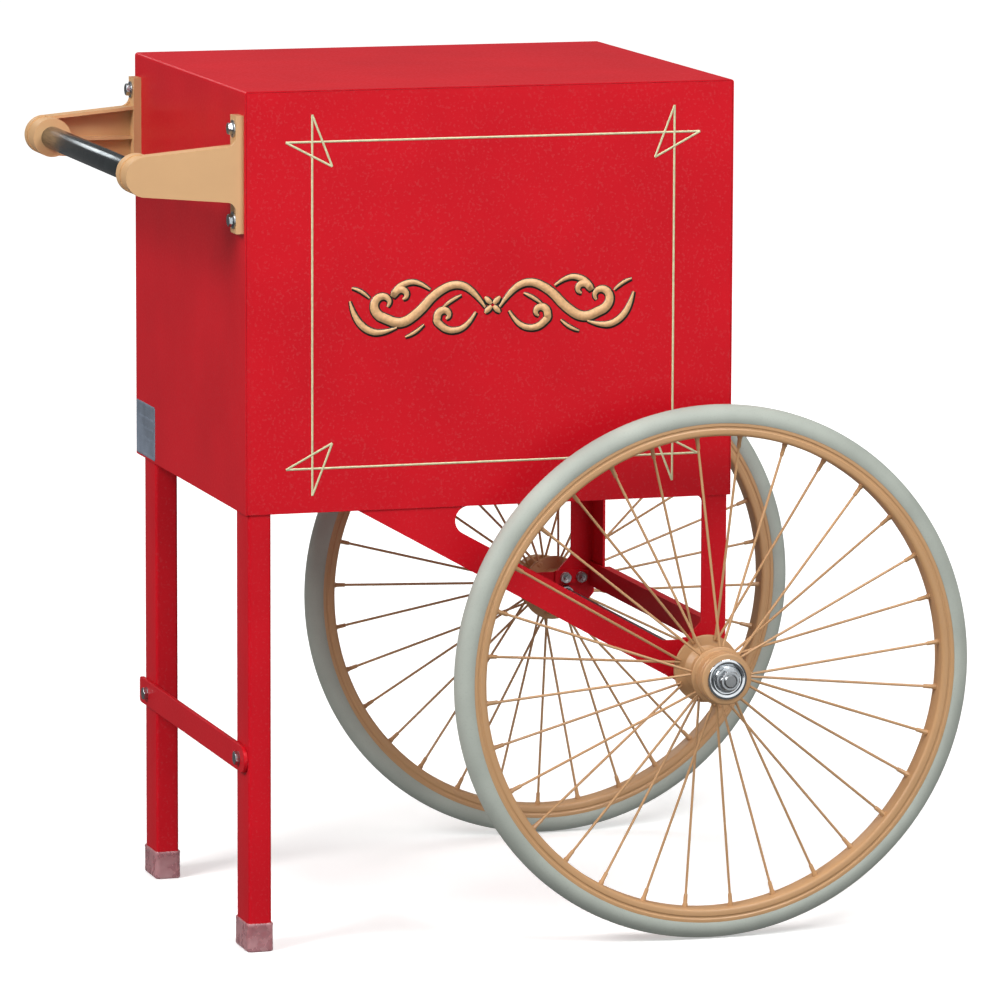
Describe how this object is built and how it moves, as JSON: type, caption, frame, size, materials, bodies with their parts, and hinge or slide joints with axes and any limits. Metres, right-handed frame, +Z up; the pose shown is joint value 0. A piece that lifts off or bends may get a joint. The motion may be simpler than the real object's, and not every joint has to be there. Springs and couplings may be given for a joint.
{
  "type": "popcorn cart",
  "caption": "Popcorn cart: red sheet-steel cabinet with a rear door and push handle, standing on legs at one end and spoked wheels at the other.",
  "frame": {"origin": "floor level, within 4 mm of the middle of the cart's bounding box", "axes": "+Z up; -X towards the push handle and legs, +X towards the wheels; -Y towards the decorated side panel, +Y towards the door; the axle runs along Y"},
  "size_m": [0.7985, 0.616, 0.8],
  "materials": {
    "red_paint": "gloss powder coat over sheet steel",
    "tan_paint": "satin paint over steel",
    "tan_moulding": "moulded, satin",
    "grip_tube": "gloss black on round tube",
    "rubber": "grey solid rubber",
    "vinyl": "clear soft vinyl over red paint",
    "zinc": "zinc-plated fasteners",
    "chrome": "bright plated",
    "steel": "plain steel",
    "foil": "satin foil, blank",
    "black_plastic": "moulded",
    "magnet": "sintered magnet"
  },
  "bodies": {
    "cart": {"cabinet_shell": "red_paint", "front_panel": "red_paint", "floor_pan": "red_paint", "rear_left_stile": "red_paint", "rear_right_stile": "red_paint", "rear_sill": "red_paint", "rear_header": "red_paint", "data_plate": "foil", "hinge_frame_leaves": "steel", "hinge_pins": "steel", "hinge_frame_rivets": "zinc", "catch_case": "black_plastic", "catch_screws": "zinc", "catch_magnet": "magnet", "near_axle_bracket": "red_paint", "far_axle_bracket": "red_paint", "leg_bolts": "zinc", "bracket_bolts": "zinc", "axle_beam": "red_paint", "axle_beam_bolts": "zinc", "axle_beam_nuts": "zinc", "axle_rod": "steel", "axle_inner_nuts": "zinc", "axle_spacers": "steel", "axle_washers": "zinc", "axle_end_nuts": "zinc", "near_leg": "red_paint", "far_leg": "red_paint", "near_foot_cap": "vinyl", "far_foot_cap": "vinyl", "leg_brace": "red_paint", "brace_bolts": "zinc", "near_handle_bracket": "tan_moulding", "far_handle_bracket": "tan_moulding", "handle_bar": "grip_tube", "handle_bolts": "zinc", "handle_washers": "zinc", "handle_nuts": "zinc"},
    "near_wheel": {"near_tyre": "rubber", "near_rim": "tan_paint", "near_hub": "tan_paint", "near_hub_bushes": "chrome", "near_spokes": "tan_paint", "near_spoke_nipples": "tan_paint"},
    "far_wheel": {"far_tyre": "rubber", "far_rim": "tan_paint", "far_hub": "tan_paint", "far_hub_bushes": "chrome", "far_spokes": "tan_paint", "far_spoke_nipples": "tan_paint"},
    "door": {"door_panel": "red_paint", "hinge_door_leaves": "steel", "hinge_door_rivets": "zinc", "door_pull": "chrome", "door_pull_screws": "zinc", "catch_strike": "steel"}
  },
  "joints": [
    {"name": "near_wheel_spin", "type": "hinge", "parent": "cart", "child": "near_wheel", "pos_m": [0.151, -0.2565, 0.252], "axis": [0, 1, 0], "continuous": true},
    {"name": "far_wheel_spin", "type": "hinge", "parent": "cart", "child": "far_wheel", "pos_m": [0.151, 0.2565, 0.252], "axis": [0, 1, 0], "continuous": true},
    {"name": "door_swing", "type": "hinge", "parent": "cart", "child": "door", "pos_m": [-0.2558, 0.2074, 0.65], "axis": [0, 0, 1], "range_deg": [0, 115]}
  ]
}
